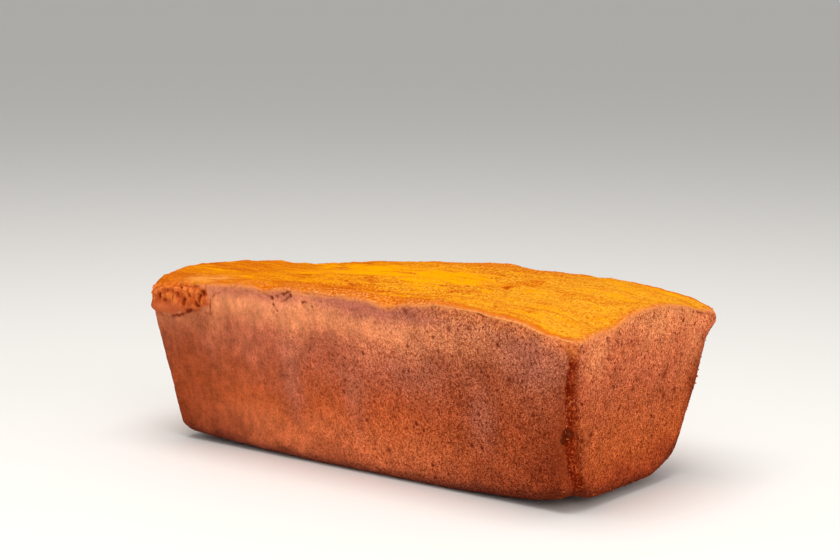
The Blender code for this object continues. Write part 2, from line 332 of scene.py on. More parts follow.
# The torn corner: crumb that ran over the paper and tore, as lumps with pits and a fissure between
# them, over a lip that hangs above the smooth wall. Pits are x, z, reach along and up, and depth,
# in millimetres.
TORN_END = (-0.0700, -0.0655)
TORN_FRONT = (-0.036, -0.030)
TORN_LOW = 0.0530
TORN_CLIMBS_FROM = -0.092
TORN_SLOPE = 0.25
TORN_OVER = 0.0060
TORN_OVER_FADE = 0.0042
TORN_OVER_END = (-0.080, -0.070)
TORN_RAG = 0.0025
TORN_RAG_SIZE = 0.006
TORN_LIP = 0.0013
TORN_LIP_AT = (0.0028, 0.0024)
TORN_SINK = 0.0010
TORN_CRAG = 0.0024
CRUMB_SIZE = 0.0038
TORN_GRAIN = 0.0005
TORN_GRAIN_SIZE = 0.0007
TORN_CALM_END = (-0.1035, -0.0985)
PIT_RAG = 0.5
PIT_RAG_SIZE = 0.0011
PIT_FADES = 2.5
DARK_PIT = 1.3
TORN_PITS = (
    (-85.4, 66.5, 1.1, 0.8, 1.4),
    (-89.6, 65.2, 0.9, 0.7, 1.2),
    (-83.0, 65.1, 1.0, 0.8, 1.4),
    (-85.6, 62.7, 0.6, 1.1, 1.0),
    (-95.7, 60.4, 1.3, 1.5, 1.4),
    (-87.9, 60.4, 0.6, 1.3, 1.1),
    (-93.1, 59.0, 0.6, 0.9, 0.9),
    (-91.2, 62.6, 0.7, 0.8, 0.9),
    (-81.5, 59.5, 0.9, 1.5, 2.0),
    (-78.8, 62.6, 0.8, 1.4, 1.2),
    (-70.8, 64.4, 1.5, 1.3, 1.3),
    (-72.6, 61.8, 1.0, 1.9, 1.8),
    (-74.4, 59.3, 1.0, 1.5, 2.0),
    (-77.0, 65.4, 1.0, 0.6, 0.7),
)


def bell_at(value, place):
    """A bell round a place, which is given with its reach."""
    return bell((value - place[0]) / place[1])


def torn_floor(x):
    """The height of the torn crumb's lower edge, which climbs towards the middle of the loaf."""
    return TORN_LOW + TORN_SLOPE * max(0.0, x - TORN_CLIMBS_FROM)


def torn_share(point, inside):
    """1 in the torn corner, 0 outside it, with a ragged edge."""
    rag = TORN_RAG * noise.noise(point / TORN_RAG_SIZE)
    along = 1.0 - blend(*TORN_END, point.x + 1.5 * rag)
    low = torn_floor(point.x)
    up = blend(low - MM, low + MM, point.z + rag)
    over = TORN_OVER * (1.0 - blend(*TORN_OVER_END, point.x))
    top = 1.0 - blend(over - TORN_OVER_FADE, over, inside + rag)
    front = 1.0 - blend(*TORN_FRONT, point.y + rag)
    return along * up * top * front


def torn_relief(point, share):
    """The lumps and pits, how much painted shade the pits get by their depth, and how far up a lump the
    point is.
    """
    distances, _ = noise.voronoi(point / CRUMB_SIZE)
    lumps = 0.55 - distances[0] + 0.25 * noise.noise(point / (CRUMB_SIZE * 0.6))
    fine, _ = noise.voronoi(point / (CRUMB_SIZE * 0.35))
    grain = 0.5 - fine[0] + 0.5 * noise.noise(point / TORN_GRAIN_SIZE)
    lip = bell_at(point.z - torn_floor(point.x), TORN_LIP_AT)
    rag = PIT_RAG * noise.noise(point / PIT_RAG_SIZE)
    pit = 0.0
    for x, z, along, up, depth in TORN_PITS:
        away = math.hypot((point.x / MM - x + rag) / along, (point.z / MM - z - rag) / up)
        if away < PIT_FADES:
            pit = max(pit, depth * bell(away))
    rough = share * (1.0 - 0.75 * lip) * (0.4 + 0.6 * blend(*TORN_CALM_END, point.x))
    relief = share * TORN_LIP * lip + rough * (TORN_CRAG * lumps - TORN_SINK + TORN_GRAIN * grain)
    return relief - share * pit * MM, share * min(1.0, pit / DARK_PIT), blend(-0.30, 0.45, lumps)


# The cracks and folds of the skin, as they are seen from outside, in millimetres: along the front
# wall (x, z), on the end (y, z) and over the crust (x, y), each with its half width and its depth.
# Then the single holes, each with its reach and its depth.
FRONT_CRACKS = (
    (((-68.0, 56.0), (-67.5, 59.1), (-66.9, 62.0), (-64.5, 64.4), (-61.2, 65.6)), 0.45, 0.6),
    (((-61.2, 65.6), (-54.6, 68.0), (-50.8, 69.5)), 0.45, 0.4),
    (((-97.5, 53.2), (-93.0, 52.4), (-89.9, 52.6)), 0.7, 0.35),
    (((-89.9, 52.6), (-85.5, 53.5), (-81.9, 55.1), (-78.8, 56.5)), 0.6, 0.85),
    (((-78.8, 56.5), (-73.3, 56.5), (-70.2, 56.3), (-68.2, 55.9)), 1.2, 0.4),
    (((-42.0, 68.6), (-37.8, 67.6), (-34.5, 66.7)), 0.7, 0.35),
    (((-34.5, 66.7), (-32.5, 67.3), (-28.9, 68.5)), 0.6, 0.4),
    (((-28.9, 68.5), (-24.3, 70.0)), 0.5, 0.6),
    (((-24.1, 68.2), (-27.3, 66.3), (-29.2, 65.2)), 0.5, 0.65),
    (((-19.2, 70.3), (-10.0, 70.4), (-3.0, 70.4)), 0.5, 0.35),
    (((22.7, 68.8), (25.6, 69.6), (28.5, 70.6)), 0.6, 0.7),
    (((63.4, 71.5), (65.8, 70.6), (68.1, 70.8)), 0.6, 0.9),
)
END_CRACKS = (
    (((-28.3, 63.9), (-26.7, 61.2), (-26.7, 58.1), (-25.7, 55.5), (-24.2, 54.6)), 0.6, 0.45),
    (((-21.9, 65.4), (-20.4, 62.8), (-20.0, 59.9)), 0.9, 0.5),
    (((2.1, 69.6), (3.0, 67.7), (5.7, 66.3)), 0.7, 0.9),
    (((-41.0, 62.0), (-37.3, 59.4)), 0.8, 0.35),
    (((35.3, 65.1), (43.0, 63.5)), 0.5, 0.6),
)
CRUST_CRACKS = (
    (((-14.1, -28.6), (-9.6, -32.4), (-6.2, -35.3)), 1.1, 0.8),
    (((-16.1, -23.7), (-11.7, -21.8), (-6.7, -21.8)), 0.9, 0.6),
    (((1.0, -22.3), (4.6, -19.4), (9.0, -18.1)), 0.9, 0.75),
    (((27.4, -27.5), (31.1, -26.2), (33.9, -23.1)), 0.8, 0.9),
    (((27.5, -22.6), (31.3, -15.0), (36.3, -8.3)), 0.8, 0.5),
    (((40.0, 0.2), (42.0, -2.9), (44.3, -6.1)), 1.0, 0.9),
    (((44.5, -1.0), (47.0, 3.0)), 1.8, 0.35),
    (((-19.4, -39.7), (-8.7, -41.2), (2.7, -39.7), (11.1, -35.1)), 0.9, 0.6),
    (((11.1, -35.1), (19.1, -36.3), (37.3, -37.0)), 0.9, 0.5),
    (((-46.0, 2.0), (-36.0, -3.0), (-22.0, -5.0)), 1.3, 0.4),
    (((57.5, -23.0), (61.5, -19.8)), 1.0, 0.5),
    (((92.0, 0.2), (95.6, 6.3)), 0.9, 0.5),
    (((62.4, -40.2), (75.2, -43.1), (86.0, -45.5)), 1.0, 0.5),
    (((14.2, 40.5), (20.0, 41.5)), 1.2, 0.6),
)
FRONT_HOLES = (
    (-34.3, 66.4, 0.8, 1.2),
    (-31.5, 67.4, 0.6, 0.9),
    (-28.0, 68.2, 0.6, 1.0),
    (-24.3, 68.4, 0.7, 1.1),
    (-33.6, 63.8, 0.7, 1.0),
    (-32.5, 62.5, 0.5, 0.7),
    (-31.5, 61.6, 0.5, 0.8),
    (-33.9, 60.5, 0.6, 0.7),
    (-32.7, 59.2, 0.5, 0.7),
    (-18.9, 66.1, 0.7, 1.1),
    (-17.2, 66.3, 0.6, 0.9),
    (-13.9, 64.9, 0.6, 0.8),
    (-10.3, 64.5, 0.5, 0.7),
    (-25.4, 46.5, 0.7, 0.8),
    (96.4, 30.2, 1.5, 0.8),
)
END_HOLES = (
    (-43.0, 61.0, 0.8, 0.7),
    (-28.0, 63.4, 0.9, 1.1),
    (-25.7, 55.8, 0.7, 0.9),
    (-20.6, 61.6, 0.9, 1.2),
    (-17.8, 60.3, 0.7, 1.0),
    (-14.4, 59.8, 0.7, 1.0),
    (-11.3, 60.1, 0.6, 0.9),
    (-7.7, 56.4, 0.6, 0.9),
    (-16.3, 56.2, 0.5, 0.8),
    (10.8, 66.5, 0.6, 1.0),
    (2.3, 69.3, 0.7, 0.9),
    (35.3, 65.1, 0.7, 0.8),
)
CRUST_HOLES = (
    (42.0, -3.0, 1.8, 1.4),
    (75.6, -37.2, 0.8, 0.8),
)
CRACK_RAG = 0.5
CRACK_RAG_SIZE = 0.0021
CRACK_FADES = 3
CRUMBLE_SIZE = 0.0024
OTHER_RAG = Vector((7.0, 3.0, 5.0))


def off_line(u, v, line):
    """How far, in millimetres, a point is from a line of straight runs."""
    nearest = 1e9
    for (u1, v1), (u2, v2) in zip(line, line[1:]):
        run_u, run_v = u2 - u1, v2 - v1
        along = ((u - u1) * run_u + (v - v1) * run_v) / (run_u * run_u + run_v * run_v)
        along = min(1.0, max(0.0, along))
        nearest = min(nearest, math.hypot(u - u1 - along * run_u, v - v1 - along * run_v))
    return nearest


def crack_depth(u, v, cracks, holes, point):
    """The deepest of the cracks and holes at a point, in metres, with crumbling edges."""
    u += CRACK_RAG * noise.noise(point / CRACK_RAG_SIZE)
    v += CRACK_RAG * noise.noise(point / CRACK_RAG_SIZE + OTHER_RAG)
    crumble = 0.85 + 0.7 * noise.noise(point / CRUMBLE_SIZE)
    deepest = 0.0
    for line, half_width, depth in cracks:
        if min(p[0] for p in line) - CRACK_FADES < u < max(p[0] for p in line) + CRACK_FADES:
            deepest = max(deepest, crumble * depth * bell(off_line(u, v, line) / half_width))
    for hole_u, hole_v, reach, depth in holes:
        if abs(u - hole_u) < CRACK_FADES * reach:
            deepest = max(deepest, depth * bell(math.hypot(u - hole_u, v - hole_v) / reach))
    return deepest * MM


# The crust and the walls. The crust dried into long thin wrinkles that run along the loaf and has
# a thin lip at the rim, where it tore off the paper. The walls took the paper's slow waves, and
# the crumb behind them is fine and uneven.
WALL_WAVE = 0.00035
WALL_WAVE_SIZE = 0.034
WALL_WAVE_BEGINS = (0.0, 0.010)
WALL_CRUMB = 0.00016
WALL_CRUMB_SIZE = 0.0030
# sizes with two numbers are along and across the loaf
WRINKLE = 0.0007
WRINKLE_SIZE = (0.036, 0.0090)
WRINKLE_BEND = (0.05, 0.03)
WRINKLE_NARROWNESS = 3.2
WRINKLES_BEGIN = (0.004, 0.014)
FINE_WRINKLE = 0.00028
FINE_SIZE = (0.014, 0.0034)
FINEST_SIZE = (0.005, 0.0022)
GRANULES = 0.00020
GRANULE_SIZE = 0.0024
SMALL_GRANULE_SIZE = 0.0013
RIM_RAG = 0.0006
RIM_RAG_SIZE = 0.007
RIM_RAG_SHIFT = Vector((5.0, 1.0, 2.0))
RIM_RAG_DEPTH = 0.003
LIP_BEAD = 0.00035
LIP_BEAD_SIZE = 0.004
# each place inside the rim has its reach beside it
LIP_BEAD_AT = (-0.0004, 0.0007)
LIP_GROOVE_AT = (0.0022, 0.0009)
LIP_BEGINS = (0.030, 0.060)
SOFT_RIM = 0.0011
SOFT_RIM_AT = (0.0006, 0.0026)
SOFT_RIM_END = (-0.072, -0.060)
SOFT_RIM_BACK = (-0.030, 0.010)
SHOULDER = 0.0004
SHOULDER_SWELL_AT = (-0.0105, 0.004)
SHOULDER_HOLLOW_AT = (-0.004, 0.002)
SHOULDER_BEGINS = (-0.066, -0.050)
SHOULDER_ENDS = (0.060, 0.085)
SHOULDER_SIDE = -0.030
CORNER_LIP = 0.0026
CORNER_LIP_REACH = 0.010
CORNER_LIP_AT = (CORNER_HEIGHT - 0.001, 0.0045)
WALL_RELIEF_ON_CRUST = 0.4
WALL_FACES = 0.6
DARK_CRACK = 0.0008


def drawn_out(point, size, seed, bend=0.0):
    """Noise that is longer along the loaf than across it."""
    return noise.noise(Vector((point.x / size[0], point.y / size[1] + bend, seed)))


def crumbly(point, size, finer, weight):
    """Noise of a size, with a finer noise over it."""
    return noise.noise(point / size) + weight * noise.noise(point / (finer * size))


def crust_relief(point):
    half_length, half_width = half_sizes(point.z)
    inside = min(half_length - abs(point.x), half_width - abs(point.y))
    bend = 0.6 * drawn_out(point, WRINKLE_BEND, 9.1)
    wrinkle = 0.5 - min(1.0, abs(drawn_out(point, WRINKLE_SIZE, 3.7, bend)) * WRINKLE_NARROWNESS)
    fine = drawn_out(point, FINE_SIZE, 1.3, 3.0 * bend)
    finest = drawn_out(point, FINEST_SIZE, 6.1)
    granules = noise.noise(point / GRANULE_SIZE)
    if within(point, GRANULAR_BOX):
        granules = 0.8 * granules + 1.3 * noise.noise(point / SMALL_GRANULE_SIZE)
    away = blend(*WRINKLES_BEGIN, inside)
    return -WRINKLE * wrinkle * away + FINE_WRINKLE * (fine + 0.5 * finest) + GRANULES * granules


def rim_relief(point, height, inside):
    near = bell((point.z - height) / RIM_RAG_DEPTH)
    rag = RIM_RAG * near * noise.noise(point / RIM_RAG_SIZE + RIM_RAG_SHIFT)
    by_crease = 0.2 + 0.8 * blend(*LIP_BEGINS, point.x)
    bead = bell_at(inside, LIP_BEAD_AT) * (0.6 + noise.noise(point / LIP_BEAD_SIZE))
    groove = -0.5 * bell_at(inside, LIP_GROOVE_AT)
    return rag + LIP_BEAD * by_crease * (bead + groove)


def soft_rim_relief(point, inside):
    """By the torn corner the crust rolls over the rim instead of breaking at it."""
    near = (1.0 - blend(*SOFT_RIM_END, point.x)) * (1.0 - blend(*SOFT_RIM_BACK, point.y))
    return -SOFT_RIM * near * bell_at(inside, SOFT_RIM_AT)


def lip_relief(point):
    """The rim hangs out a little over the back corner at +X."""
    rim_length, rim_width = half_sizes(CORNER_HEIGHT)
    away = math.hypot(point.x - rim_length, point.y - rim_width)
    return CORNER_LIP * bell(away / CORNER_LIP_REACH) * bell_at(point.z, CORNER_LIP_AT)


def wall_relief(point, inside):
    wave = WALL_WAVE * blend(*WALL_WAVE_BEGINS, point.z) * noise.noise(point / WALL_WAVE_SIZE)
    shoulder = 0.0
    if point.y < SHOULDER_SIDE:
        along = blend(*SHOULDER_BEGINS, point.x) * (1.0 - blend(*SHOULDER_ENDS, point.x))
        shoulder = bell_at(inside, SHOULDER_SWELL_AT) - bell_at(inside, SHOULDER_HOLLOW_AT)
        shoulder *= SHOULDER * along
    return wave + WALL_CRUMB * crumbly(point, WALL_CRUMB_SIZE, 0.45, 0.6) + shoulder


crack_shade_mark = loaf.verts.layers.float.new("crack_shade")
torn_mark = loaf.verts.layers.float.new("torn")
lump_mark = loaf.verts.layers.float.new("torn_lump")
moved = []
for vertex in loaf.verts:
    point, inside = vertex.co.copy(), vertex[rim_mark]
    if point.z < TINY:
        continue
    torn = torn_share(point, inside)
    on_crust = inside > 0.0
    depth = lip_relief(point) + rim_relief(point, crust_height(point.x, point.y), inside)
    depth += soft_rim_relief(point, inside)
    depth += wall_relief(point, inside) * (WALL_RELIEF_ON_CRUST if on_crust else 1.0)
    cut = 0.0
    if on_crust:
        depth += crust_relief(point)
        cut = crack_depth(point.x / MM, point.y / MM, CRUST_CRACKS, CRUST_HOLES, point)
    elif vertex.normal.y < -WALL_FACES:
        cut = crack_depth(point.x / MM, point.z / MM, FRONT_CRACKS, FRONT_HOLES, point)
    elif vertex.normal.x > WALL_FACES:
        cut = crack_depth(point.y / MM, point.z / MM, END_CRACKS, END_HOLES, point)
    pit = 0.0
    if torn > 0.0:
        rise, pit, vertex[lump_mark] = torn_relief(point, torn)
        depth += rise
    creased = blend(*FOLD_CRUMB_FROM, vertex[crease_mark])
    depth += FOLD_CRUMB * creased * crumbly(point, FOLD_CRUMB_SIZE, 0.4, 0.5)
    # Cracks and pits are marked by their depth, which the skin paints as shade in them.
    vertex[crack_shade_mark] = max(pit, min(1.0, cut / DARK_CRACK))
    vertex[torn_mark] = torn
    moved.append((vertex, point + vertex.normal * (depth - cut)))
for vertex, new_place in moved:
    vertex.co = new_place


# The loaf's browning and painted light, as soft spots on its skin, in millimetres: the pale bloom that
# the paper left, mostly where it stood off the crumb, with painted shadow of the rim's overhang under
# the front rim; painted highlight on the end's pale lobe and on the shoulders under the rim; painted
# shade in the dark corners, along the base and beside the crease; the brighter yellow middle of the
# crust, its toasted places, its pale edge by the torn corner, and the scorched drip in the crease.
# Each spot is its place, its reach along x, y and z, and its strength.
BROWNING_AND_PAINTED_LIGHT = {
    # Pale bloom that the paper left; the spots high under the front rim are painted shadow of the rim's
    # overhang.
    "bloom_and_rim_shadow": (
        (86, -49, 57, 16, 10, 12, 0.9),
        (14, -51, 67, 26, 10, 5, 0.8),
        (32, -51, 67, 16, 10, 4, 0.9),
        (-42, -51, 69, 24, 10, 3, 0.6),
        (58, -50, 66, 14, 10, 4, 0.25),
        (-29, -45, 34, 6, 10, 24, 0.6),
        (1, -44, 30, 7, 10, 20, 0.5),
        (60, -44, 32, 8, 10, 16, 0.6),
        (30, -46, 46, 26, 10, 10, 0.4),
        (40, 46, 44, 46, 14, 14, 0.6),
        (-50, 44, 30, 8, 12, 26, 0.5),
        (-97, -10, 48, 12, 24, 12, 0.5),
    ),
    # Painted highlight: the shoulder under the rim where it catches the lamp, and the ends' pale lobes.
    "peach_highlight": (
        (102, -35, 59, 10, 10, 9, 0.6),
        (-60, -50, 61, 13, 10, 9, 0.4),
        (101, 34, 54, 10, 12, 14, 0.5),
        (-100, 22, 58, 10, 22, 9, 0.8),
    ),
    "shade": (
        (94, -42, 12, 20, 12, 20, 1.0),
        (72, -40, 4, 16, 12, 9, 0.5),
        (100, -32, 8, 8, 12, 11, 0.6),
        (90, -46, 32, 16, 10, 20, 0.2),
        (101, -49, 44, 7, 7, 20, 0.8),
        (66, -50, 51, 12, 10, 7, 0.5),
        (100, -43, 34, 7, 5, 30, 0.6),
        (99, 42, 28, 12, 9, 30, 1.0),
        (-95, -42, 12, 12, 12, 16, 0.6),
        (-97, -20, 4, 12, 26, 10, 0.6),
        (-97, 42, 20, 12, 10, 26, 0.8),
        (0, 40, 3, 90, 12, 6, 0.5),
    ),
    "yellow_middle": (
        (-56, 16, 70, 14, 8, 9, 0.8),
        (-38, 8, 72, 16, 12, 9, 1.0),
        (-15, -3, 73, 18, 14, 9, 1.0),
        (10, -2, 73, 18, 14, 9, 1.0),
        (27, -4, 73, 10, 8, 9, 0.9),
    ),
    "toasted": (
        (-80, 0, 72, 34, 60, 12, 0.7),
        (-92, -46, 68, 14, 9, 8, 1.0),
        (-10, -43, 72, 30, 8, 9, 1.0),
        (28, -43, 72, 18, 6, 9, 0.9),
        (40, -26, 73, 16, 7, 9, 0.4),
        (44, 12, 73, 6, 6, 9, 0.8),
        (44, -2, 73, 5, 4, 9, 1.0),
        (5, 2, 73, 4, 3, 9, 0.8),
        (20, 44, 71, 60, 7, 9, 0.6),
        (76, -37, 71, 4, 3, 5, 0.6),
        (99, -46, 62, 5, 4, 5, 0.6),
        (54, -34, 72, 15, 8, 9, 0.35),
        (94, 4, 72, 9, 12, 9, 0.3),
    ),
    "pale_edge": (
        (-76, -44, 71, 15, 7, 9, 0.9),
        (-50, -47, 72, 12, 3, 9, 0.4),
    ),
    "scorched": (
        (96.3, -41.8, 30.3, 2.4, 2.4, 2.5, 1.6),
        (95.3, -42.6, 28.0, 1.8, 2.3, 1.8, 1.3),
    ),
}
SPOT_GONE = 5.0

for name, spots in BROWNING_AND_PAINTED_LIGHT.items():
    tint_mark = loaf.verts.layers.float.new(name)
    for vertex in loaf.verts:
        tint = 0.0
        for x, y, z, reach_x, reach_y, reach_z, strength in spots:
            away_x = (vertex.co.x / MM - x) / reach_x
            away_y = (vertex.co.y / MM - y) / reach_y
            away_z = (vertex.co.z / MM - z) / reach_z
            away = away_x * away_x + away_y * away_y + away_z * away_z
            if away < SPOT_GONE:
                tint = max(tint, strength * math.exp(-away))
        vertex[tint_mark] = tint

# Three wider marks: the middle of each long wall, which browned least, the two ends, and the height
# above the base's edge.
END_TURNS = (-0.001, 0.003)
MIDDLE_BEGINS = (-0.100, -0.030)
MIDDLE_ENDS = (0.004, 0.080)

middle_mark = loaf.verts.layers.float.new("wall_middle")
end_mark = loaf.verts.layers.float.new("on_end")
height_mark = loaf.verts.layers.float.new("above_base")
for vertex in loaf.verts:
    half_length, half_width = half_sizes(vertex.co.z)
    past_corner = (half_width - abs(vertex.co.y)) - (half_length - abs(vertex.co.x))
    vertex[end_mark] = blend(*END_TURNS, past_corner)
    vertex[height_mark] = (vertex.co.z - base_lift(vertex.co.x, vertex.co.y)) / MM
    vertex[middle_mark] = blend(*MIDDLE_BEGINS, vertex.co.x) * (1.0 - blend(*MIDDLE_ENDS, vertex.co.x))


def keep_in_box(vertex):
    """Nothing reaches out of the solid's box."""
    for n in range(3):
        vertex.co[n] = min(loaf_high[n], max(loaf_low[n], vertex.co[n]))


def finished(name, grid):
    """An object of the scene, made from a bmesh that is no longer needed."""
    mesh = bpy.data.meshes.new(name)
    grid.to_mesh(mesh)
    grid.free()
    mesh.shade_smooth()
    thing = bpy.data.objects.new(name, mesh)
    bpy.context.scene.collection.objects.link(thing)
    return thing


# The loaf is set where the solid is.
lows = [min(vertex.co[n] for vertex in loaf.verts) for n in range(3)]
highs = [max(vertex.co[n] for vertex in loaf.verts) for n in range(3)]
for vertex in loaf.verts:
    for n in (0, 1):
        vertex.co[n] += (loaf_low[n] + loaf_high[n] - lows[n] - highs[n]) / 2
    keep_in_box(vertex)
cake = finished("butter_cake_loaf", loaf)


# The loaf's skin: a golden, finely granular crust over porous walls that browned from a pinkish tan
# under the rim to orange-brown lower down. Colours are the surface's own, except for painted light:
# each height ramp's pale stops near the rim hold a painted highlight where the shoulder catches the
# lamp, and its dark lowest stops hold painted shade at the base's edge. The marks made above say
# where each belongs. Heights are in millimetres above the table.
CORNER_BY_HEIGHT = (
    (4, (0.30, 0.058, 0.025)),
    (12, (0.41, 0.082, 0.028)),
    (20, (0.42, 0.083, 0.027)),
    (30, (0.385, 0.074, 0.025)),
    (40, (0.400, 0.089, 0.034)),
    (50, (0.385, 0.092, 0.040)),
    (60, (0.63, 0.200, 0.088)),
)
MIDDLE_BY_HEIGHT = (
    (3, (0.48, 0.112, 0.042)),
    (8, (0.69, 0.172, 0.064)),
    (16, (0.67, 0.162, 0.054)),
    (25, (0.54, 0.106, 0.030)),
    (36, (0.49, 0.107, 0.041)),
    (45, (0.52, 0.134, 0.069)),
    (52, (0.68, 0.196, 0.094)),
    (60, (0.97, 0.345, 0.142)),
    (67, (0.84, 0.280, 0.138)),
)
END_BY_HEIGHT = (
    (8, (0.37, 0.058, 0.018)),
    (16, (0.51, 0.103, 0.027)),
    (24, (0.52, 0.109, 0.030)),
    (38, (0.49, 0.110, 0.038)),
    (46, (0.50, 0.114, 0.046)),
    (54, (0.58, 0.145, 0.060)),
    (62, (0.72, 0.210, 0.084)),
    (68, (0.82, 0.280, 0.108)),
)
BLOOM_AND_RIM_SHADOW = (0.47, 0.140, 0.080)
PEACH_HIGHLIGHT = (0.88, 0.310, 0.125)
SHADE = (0.26, 0.042, 0.013)
BASE_EDGE_SHADE = (0.54, 0.56, 0.74)
RIM_BAND_AND_SHADOW = (0.58, 0.176, 0.112)
RIM_BAND_AND_SHADOW_FAR = (0.67, 0.206, 0.110)
RIM_BAND_AND_SHADOW_NEAR = (0.63, 0.184, 0.066)
CRUMB_DARK = (0.66, 0.48, 0.40)
CRUMB_PALE = (1.13, 1.19, 1.21)
GRAIN_DARK = (0.72, 0.57, 0.50)
GRAIN_PALE = (1.16, 1.25, 1.29)
SAND_DARK = (0.50, 0.34, 0.28)
SAND_PALE = (1.30, 1.44, 1.50)
PORE_SHADE_RED = (0.17, 0.020, 0.006)
CRUST_GOLD = (0.74, 0.318, 0.015)
CRUST_AMBER = (0.70, 0.232, 0.003)
CRUST_ORANGE = (0.58, 0.128, 0.003)
CRUST_YELLOW_MIDDLE = (0.85, 0.335, 0.0002)
CRUST_BROWN = (0.44, 0.080, 0.002)
CRUST_PALE = (0.92, 0.460, 0.050)
CRUST_CRACK_SHADE = (0.42, 0.052, 0.0015)
TOASTED_CRUMB = (0.92, 0.380, 0.110)
RIM_FRINGE = (0.72, 0.245, 0.072)
LIP_HIGHLIGHT = (0.94, 0.450, 0.130)
TORN_HOLLOW_SHADE = (0.49, 0.074, 0.013)
TORN_ORANGE = (0.64, 0.125, 0.019)
TORN_CREST_HIGHLIGHT = (0.78, 0.200, 0.036)
TORN_PIT_SHADE = (0.26, 0.028, 0.005)
TORN_LIP_PINK = (0.54, 0.114, 0.038)
CREASE_RED_AND_SHADOW = (0.17, 0.011, 0.0015)
CREASE_CRUMB = (0.30, 0.039, 0.008)
CREASE_PALE = (0.66, 0.140, 0.042)
CREASE_MOUTH = (0.64, 0.175, 0.048)
SCORCHED = (0.085, 0.011, 0.003)
WALL_CRACK_SHADE = (0.25, 0.040, 0.013)
CRUST_ABOVE_WALL = 0.9
BUMP_DEPTH = 0.0005
RAMP_TOP = 80.0


def new_material(name):
    """A material with its nodes, its links and its surface."""
    material = bpy.data.materials.new(name)
    material.use_nodes = True
    tree = material.node_tree
    return material, tree.nodes, tree.links, tree.nodes["Principled BSDF"]


def feed(socket, value):
    """Sets a socket to a number or colour, or links it to another node's output."""
    if isinstance(value, bpy.types.NodeSocket):
        links.new(value, socket)
    elif isinstance(value, tuple) and len(value) == 3 and socket.type == "RGBA":
        socket.default_value = (*value, 1.0)
    else:
        socket.default_value = value


def mark(name):
    node = nodes.new("ShaderNodeAttribute")
    node.attribute_name = name
    return node.outputs["Fac"]


def sums(kind, first, second=0.0, third=0.0):
    node = nodes.new("ShaderNodeMath")
    node.operation = kind
    for socket, value in zip(node.inputs, (first, second, third)):
        feed(socket, value)
    return node.outputs[0]


def times(first, *others):
    for other in others:
        first = sums("MULTIPLY", first, other)
    return first


def wandering(value, unevenness, reach):
    """A value that a noise moves up and down, by half the reach at most."""
    return sums("MULTIPLY_ADD", sums("SUBTRACT", unevenness, 0.5), reach, value)


def share_of(value, low, high, from_share=0.0, to_share=1.0):
    """Smoothly from one share at low to another at high."""
    node = nodes.new("ShaderNodeMapRange")
    node.interpolation_type = "SMOOTHSTEP"
    ends = {"From Min": low, "From Max": high, "To Min": from_share, "To Max": to_share}
    for name, number in ends.items():
        node.inputs[name].default_value = number
    feed(node.inputs["Value"], value)
    return node.outputs[0]


def blended(share, under, over, kind="MIX"):
    node = nodes.new("ShaderNodeMix")
    node.data_type = "RGBA"
    node.blend_type = kind
    feed(node.inputs[0], share)
    feed(node.inputs[6], under)
    feed(node.inputs[7], over)
    return node.outputs[2]


def toned(colour, tone, share=1.0):
    return blended(share, colour, tone, "MULTIPLY")


def layered(colour, *layers):
    """A colour with others laid over it in turn, each by its share."""
    for share, over in layers:
        colour = blended(share, colour, over)
    return colour


def by_height(millimetres, colours):
    """The colour at a height, easing from each named height to the next."""
    node = nodes.new("ShaderNodeValToRGB")
    stops = node.color_ramp.elements
    node.color_ramp.interpolation = "B_SPLINE"
    for stop, (height, colour) in zip((stops[0], stops[1]), (colours[0], colours[-1])):
        stop.position = height / RAMP_TOP
        stop.color = (*colour, 1.0)
    for height, colour in colours[1:-1]:
        stops.new(height / RAMP_TOP).color = (*colour, 1.0)
    feed(node.inputs[0], times(millimetres, 1.0 / RAMP_TOP))
    return node.outputs[0]


def coordinates():
    """Where a point lies along, across and up the loaf."""
    node = nodes.new("ShaderNodeSeparateXYZ")
    links.new(place, node.inputs[0])
    return tuple(node.outputs)


def stretched(x, y, z):
    node = nodes.new("ShaderNodeMapping")
    node.inputs["Scale"].default_value = (x, y, z)
    links.new(place, node.inputs["Vector"])
    return node.outputs["Vector"]


def mottle(size, detail=2.0, roughness=0.55, at=None):
    """Noise from 0 to 1, with lumps of a size in metres."""
    node = nodes.new("ShaderNodeTexNoise")
    links.new(at or place, node.inputs["Vector"])
    node.inputs["Scale"].default_value = 1.0 / size
    node.inputs["Detail"].default_value = detail
    node.inputs["Roughness"].default_value = roughness
    return node.outputs[0]


def pores(spacing, radius, at):
    """1 in a pore and 0 between pores, with one uneven pore to each cell of the spacing."""
    node = nodes.new("ShaderNodeTexVoronoi")
    links.new(at, node.inputs["Vector"])
    node.inputs["Scale"].default_value = 1.0 / spacing
    reach = radius / spacing
    uneven = sums("MULTIPLY_ADD", mottle(spacing * 1.4), reach * 5.0, -1.9 * reach)
    return share_of(sums("SUBTRACT", node.outputs["Distance"], uneven), -0.10, 0.10, 1.0, 0.0)


def tinted(name, uneven=0.5):
    """A browning mark with an uneven edge to it."""
    return share_of(wandering(mark(name), broad, uneven), 0.02, 1.0)


skin, nodes, links, surface = new_material("baked_skin")
surface.inputs["Specular IOR Level"].default_value = 0.0
place = nodes.new("ShaderNodeTexCoord").outputs["Object"]
along_x, across_y, up_z = coordinates()
height_up = times(up_z, 1.0 / MM)
inside_rim = mark("inside_rim")
on_end = mark("on_end")
off_end = sums("SUBTRACT", 1.0, on_end)
near_end = share_of(along_x, 0.030, 0.060)
beside_end = sums("SUBTRACT", near_end, on_end)

broad = mottle(0.022, 3.0)
middling = mottle(0.0065, 3.0)
upright = stretched(1.0, 1.0, 0.75)
grain = mottle(0.00050, 1.0, 0.5)
finest = mottle(0.00034, 0.0)
crumb = mottle(0.00090, 2.0, 0.6, upright)
streaky = mottle(0.0060, 3.0, 0.6, stretched(1.0, 1.0, 0.4))
soft_streaks = mottle(0.0026, 2.0, 0.5, stretched(1.0, 1.0, 0.5))

